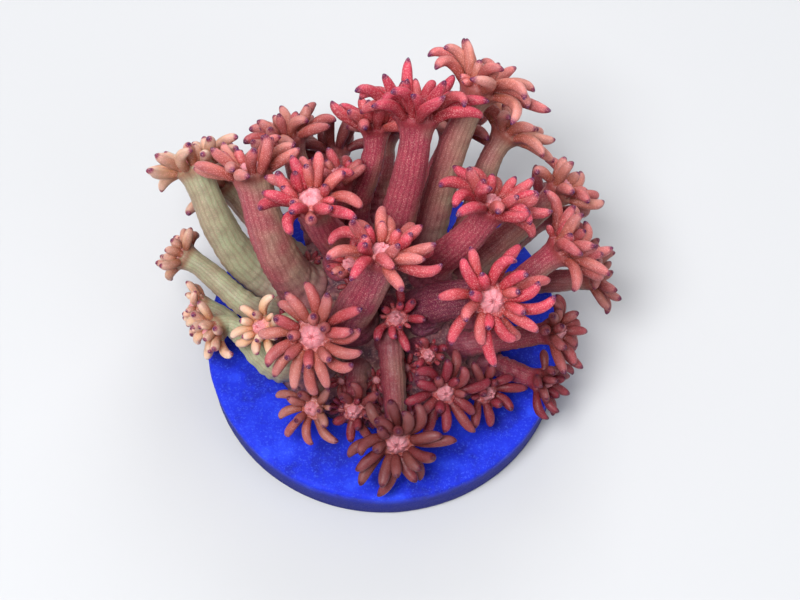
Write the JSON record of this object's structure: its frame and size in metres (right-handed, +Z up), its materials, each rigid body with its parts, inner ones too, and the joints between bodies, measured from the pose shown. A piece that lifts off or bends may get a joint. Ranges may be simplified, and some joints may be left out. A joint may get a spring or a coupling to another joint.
{
  "type": "flowerpot coral on a frag disc",
  "caption": "Colony of long-stalked flowerpot coral polyps with finger-like tentacles, growing from a low domed skeleton fixed on a flat round frag disc.",
  "frame": {"origin": "centre of the frag disc's flat underside", "axes": "+Z up through the colony, -Y towards the colony's front, where the disc's top is bare, +X to the right seen from the front"},
  "size_m": [0.0492, 0.0437, 0.0353],
  "materials": {
    "frag_disc": "matte, moulded, fine sandy grain",
    "skeleton": "matte, lumpy, thin living tissue",
    "pink_polyp": "soft moist flesh, satin",
    "tan_polyp": "soft moist flesh, satin"
  },
  "bodies": {
    "root": {"frag_disc": "frag_disc", "skeleton": "skeleton", "polyp_01": "pink_polyp", "polyp_02": "pink_polyp", "polyp_03": "pink_polyp", "polyp_04": "tan_polyp", "polyp_05": "pink_polyp", "polyp_06": "tan_polyp", "polyp_07": "pink_polyp", "polyp_08": "pink_polyp", "polyp_09": "pink_polyp", "polyp_10": "pink_polyp", "polyp_11": "pink_polyp", "polyp_12": "pink_polyp", "polyp_13": "pink_polyp", "polyp_14": "pink_polyp", "polyp_15": "pink_polyp", "polyp_16": "tan_polyp", "polyp_17": "tan_polyp", "polyp_18": "pink_polyp", "polyp_19": "pink_polyp", "polyp_20": "pink_polyp", "polyp_21": "pink_polyp", "polyp_22": "pink_polyp", "polyp_23": "pink_polyp", "polyp_24": "pink_polyp", "polyp_25": "pink_polyp", "polyp_26": "pink_polyp", "polyp_27": "tan_polyp", "polyp_28": "pink_polyp", "polyp_29": "tan_polyp", "polyp_30": "pink_polyp", "polyp_31": "pink_polyp", "polyp_32": "pink_polyp", "polyp_33": "pink_polyp", "polyp_34": "pink_polyp", "polyp_35": "pink_polyp"}
  },
  "joints": []
}
